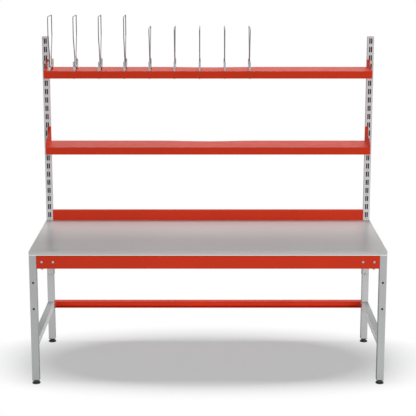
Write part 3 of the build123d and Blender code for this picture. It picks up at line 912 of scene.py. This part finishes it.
class PACKING_OT_steel(bpy.types.Operator):
    """Paint the frame, the uprights, the beams and the shelves"""

    bl_idname = "packing.steel"
    bl_label = "Painted steel"

    def execute(self, context):
        paint = context.scene.packing_paint
        grain = paint.grain
        red_roughness = 0.46
        grey_roughness = 0.4
        pale_roughness = 0.38
        leg_bores = tube_bores("leg_front_right", "leg_rear_right", paint.tube_wall)
        upright_bores = tube_bores("upright_right", "upright_right", paint.tube_wall)
        red_coat = powder_coat("red_powder_coat", tuple(paint.red), grain, red_roughness)
        grey_coat = powder_coat("grey_powder_coat", tuple(paint.grey), grain, grey_roughness, leg_bores)
        pale_coat = powder_coat("pale_powder_coat", tuple(paint.pale), grain, pale_roughness, upright_bores)
        red_parts = ["front_beam", "rear_beam", "lower_stretcher", "rear_upstand"]
        red_parts += ["upper_shelf", "lower_shelf"]
        red_parts += [f"{level}_bracket_{side}" for level in ("upper", "lower") for side in SIDES]
        grey_parts = [f"leg_{corner}" for corner in CORNERS]
        grey_parts += [f"{level}_rail_{side}" for level in ("low", "top") for side in SIDES]
        pale_parts = [f"upright_{side}" for side in SIDES]
        dress(red_parts, red_coat)
        dress(grey_parts, grey_coat)
        dress(pale_parts, pale_coat)
        return {"FINISHED"}


class PACKING_OT_worktop(bpy.types.Operator):
    """Finish the worktop and its edge band"""

    bl_idname = "packing.worktop"
    bl_label = "Worktop"

    def execute(self, context):
        board = context.scene.packing_board
        dress(["worktop"], laminate("grey_laminate", tuple(board.laminate), board.speckle))
        band = tuple(board.band)
        # The band's lower arris gets a painted highlight in this paler colour.
        arris_highlight = tuple(board.arris_highlight)
        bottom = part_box("worktop_edge")[0][2]
        plastic = edge_plastic("edge_band_plastic", band, arris_highlight, bottom, board.arris_highlight_width)
        dress(["worktop_edge"], plastic)
        return {"FINISHED"}


class PACKING_OT_fittings(bpy.types.Operator):
    """Plate the clips, brackets and fasteners, and finish the plugs"""

    bl_idname = "packing.fittings"
    bl_label = "Fittings"

    def execute(self, context):
        metal = context.scene.packing_metal
        foot = context.scene.packing_foot
        zinc = zinc_plate("zinc_plate", tuple(metal.zinc))
        plated = [f"corner_bracket_{corner}" for corner in CORNERS]
        plated += [f"divider_clip_{number}" for number in DIVIDERS]
        plated += ["upright_bolts", "end_plate_bolts"]
        dress(plated, zinc)
        fasteners = ["beam_bolts", "corner_bolts", "worktop_screws"]
        fasteners += ["upper_shelf_screws", "lower_shelf_screws"]
        dress(fasteners, zinc_plate("blue_zinc", tuple(metal.blue_zinc)))
        plastic = moulded_plastic("black_plastic", tuple(foot.plastic))
        dress([f"leg_plug_{corner}" for corner in CORNERS], plastic)
        return {"FINISHED"}


class PACKING_OT_studio(bpy.types.Operator):
    """Set the floor, the lights and the camera"""

    bl_idname = "packing.studio"
    bl_label = "Studio"

    def execute(self, context):
        studio = context.scene.packing_studio
        make_floor()
        make_world(studio.sky_strength)
        make_lamps()
        make_camera(studio)
        return {"FINISHED"}


def make_floor():
    """White floor that keeps the shadow near the table and fades into the white background."""
    floor_size = 60.0
    floor_roughness = 0.9
    fade_stretch = (0.85, 1.9, 1)
    fade_range = (0.75, 1.25)
    haze = 0.39
    white_paint = (0.87, 0.9, 0.9)
    bounce = (0.58, 0.6, 0.6)
    floor_data = bmesh.new()
    bmesh.ops.create_grid(floor_data, x_segments=1, y_segments=1, size=floor_size)
    mesh = bpy.data.meshes.new("studio_floor")
    floor_data.to_mesh(mesh)
    floor_data.free()
    floor = bpy.data.objects.new("studio_floor", mesh)
    bpy.context.scene.collection.objects.link(floor)
    nodes = Nodes("studio_floor")
    tree = nodes.tree
    nodes.set(Roughness=floor_roughness, Specular_IOR_Level=0.0)
    distance = tree.nodes.new("ShaderNodeVectorMath")
    distance.operation = "LENGTH"
    tree.links.new(nodes.mapped(fade_stretch), distance.inputs[0])
    fade = nodes.ramp(distance.outputs["Value"], fade_range, (haze, 1))
    camera_ray = tree.nodes.new("ShaderNodeLightPath").outputs["Is Camera Ray"]
    nodes.to(nodes.mix(camera_ray, bounce, white_paint), "Base Color")
    seen = nodes.math("MULTIPLY", fade, camera_ray)
    white = tree.nodes.new("ShaderNodeEmission")
    blend = tree.nodes.new("ShaderNodeMixShader")
    tree.links.new(seen, blend.inputs["Fac"])
    tree.links.new(nodes.shader.outputs["BSDF"], blend.inputs[1])
    tree.links.new(white.outputs["Emission"], blend.inputs[2])
    tree.links.new(blend.outputs["Shader"], tree.nodes["Material Output"].inputs["Surface"])
    mesh.materials.append(nodes.material)


def make_world(strength):
    """Even room light, with a plain white background for the camera and for gloss and glass."""
    white = (1, 1, 1, 1)
    world = bpy.data.worlds.new("studio")
    bpy.context.scene.world = world
    world.use_nodes = True
    tree = world.node_tree
    room = tree.nodes["Background"]
    room.inputs["Color"].default_value = white
    room.inputs["Strength"].default_value = strength
    seen = tree.nodes.new("ShaderNodeBackground")
    seen.inputs["Color"].default_value = white
    path = tree.nodes.new("ShaderNodeLightPath")
    shows = path.outputs["Is Camera Ray"]
    for ray in ("Is Glossy Ray", "Is Transmission Ray"):
        either = tree.nodes.new("ShaderNodeMath")
        either.operation = "MAXIMUM"
        tree.links.new(shows, either.inputs[0])
        tree.links.new(path.outputs[ray], either.inputs[1])
        shows = either.outputs["Value"]
    blend = tree.nodes.new("ShaderNodeMixShader")
    tree.links.new(shows, blend.inputs["Fac"])
    tree.links.new(room.outputs["Background"], blend.inputs[1])
    tree.links.new(seen.outputs["Background"], blend.inputs[2])
    tree.links.new(blend.outputs["Shader"], tree.nodes["World Output"].inputs["Surface"])


def make_lamps():
    """Soft boxes behind, right and left, a lamp for the floor and two for what is under the worktop.

    Each has its place, target, size and power, and either leaves these pieces out or lights only them.
    """
    floor = [bpy.data.objects["studio_floor"]]
    rails = [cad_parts[f"low_rail_{side}"] for side in SIDES]
    low_parts = [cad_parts[name] for name in ("leg_rear_left", "leg_rear_right", "lower_stretcher")]
    lamps = {
        "above": ((0.4, 3.0, 4.4), (0.0, 0.0, 0.9), 2.6, 150.0, "EXCLUDE", floor),
        "right": ((5.4, -5.2, 2.0), (0.0, 0.0, 0.9), 2.6, 290.0, "EXCLUDE", floor),
        "left": ((-5.0, -5.6, 1.8), (0.0, 0.0, 0.9), 2.6, 145.0, "EXCLUDE", floor),
        "floor_lamp": ((0.0, 0.05, 5.0), (0.0, 0.05, 0.0), 1.7, 220.0, "INCLUDE", floor),
        "low_fill": ((0.0, -2.4, 0.45), (0.0, 0.3, 0.4), 0.8, 22.0, "INCLUDE", low_parts),
        "rail_fill": ((0.0, -0.7, 0.5), (0.0, 0.3, 0.25), 0.6, 16.0, "INCLUDE", rails),
    }
    for name, (place, target, size, power, state, receivers) in lamps.items():
        lamp = bpy.data.lights.new(name, "AREA")
        lamp.size = size
        lamp.energy = power
        holder = bpy.data.objects.new(name, lamp)
        holder.location = place
        holder.rotation_euler = (Vector(target) - Vector(place)).to_track_quat("-Z", "Y").to_euler()
        holder.visible_glossy = False
        linked = bpy.data.collections.new(f"{name}_receivers")
        for index, receiver in enumerate(receivers):
            linked.objects.link(receiver)
            linked.collection_objects[index].light_linking.link_state = state
        holder.light_linking.receiver_collection = linked
        bpy.context.scene.collection.objects.link(holder)


def make_camera(studio):
    """Camera in front of the table, looking slightly down, as in the photograph."""
    camera = bpy.data.cameras.new("camera")
    camera.sensor_fit = "HORIZONTAL"
    camera.lens = studio.focal_pixels / studio.frame_pixels * camera.sensor_width
    camera.shift_y = studio.shift_share
    holder = bpy.data.objects.new("camera", camera)
    holder.location = studio.camera_place
    holder.rotation_euler = (pi / 2 - studio.camera_pitch, 0, 0)
    bpy.context.scene.collection.objects.link(holder)
    bpy.context.scene.camera = holder
    bpy.context.scene.view_settings.view_transform = "Standard"


class PACKING_PT_panel(bpy.types.Panel):
    """Buttons and settings of the packing table"""

    bl_idname = "PACKING_PT_panel"
    bl_label = "Packing table"
    bl_space_type = "VIEW_3D"
    bl_region_type = "UI"
    bl_category = "Packing table"

    def draw(self, context):
        for operator in OPERATORS:
            self.layout.operator(operator.bl_idname)
        for name, group in GROUPS.items():
            box = self.layout.box()
            for key in group.__annotations__:
                box.prop(getattr(context.scene, name), key)


OPERATORS = (
    PACKING_OT_steel,
    PACKING_OT_worktop,
    PACKING_OT_fittings,
    PACKING_OT_wires,
    PACKING_OT_frame_welds,
    PACKING_OT_feet,
    PACKING_OT_studio,
)


def register():
    """Register the settings, the operators and the panel."""
    for group in GROUPS.values():
        bpy.utils.register_class(group)
    for name, group in GROUPS.items():
        setattr(bpy.types.Scene, name, PointerProperty(type=group))
    for operator in OPERATORS:
        bpy.utils.register_class(operator)
    bpy.utils.register_class(PACKING_PT_panel)


def unregister():
    """Take back everything that register added."""
    bpy.utils.unregister_class(PACKING_PT_panel)
    for operator in reversed(OPERATORS):
        bpy.utils.unregister_class(operator)
    for name, group in GROUPS.items():
        delattr(bpy.types.Scene, name)
        bpy.utils.unregister_class(group)


def main():
    register()
    bpy.ops.packing.steel()
    bpy.ops.packing.worktop()
    bpy.ops.packing.fittings()
    bpy.ops.packing.wires()
    bpy.ops.packing.frame_welds()
    bpy.ops.packing.feet()
    bpy.ops.packing.studio()


if __name__ == "__main__":
    main()
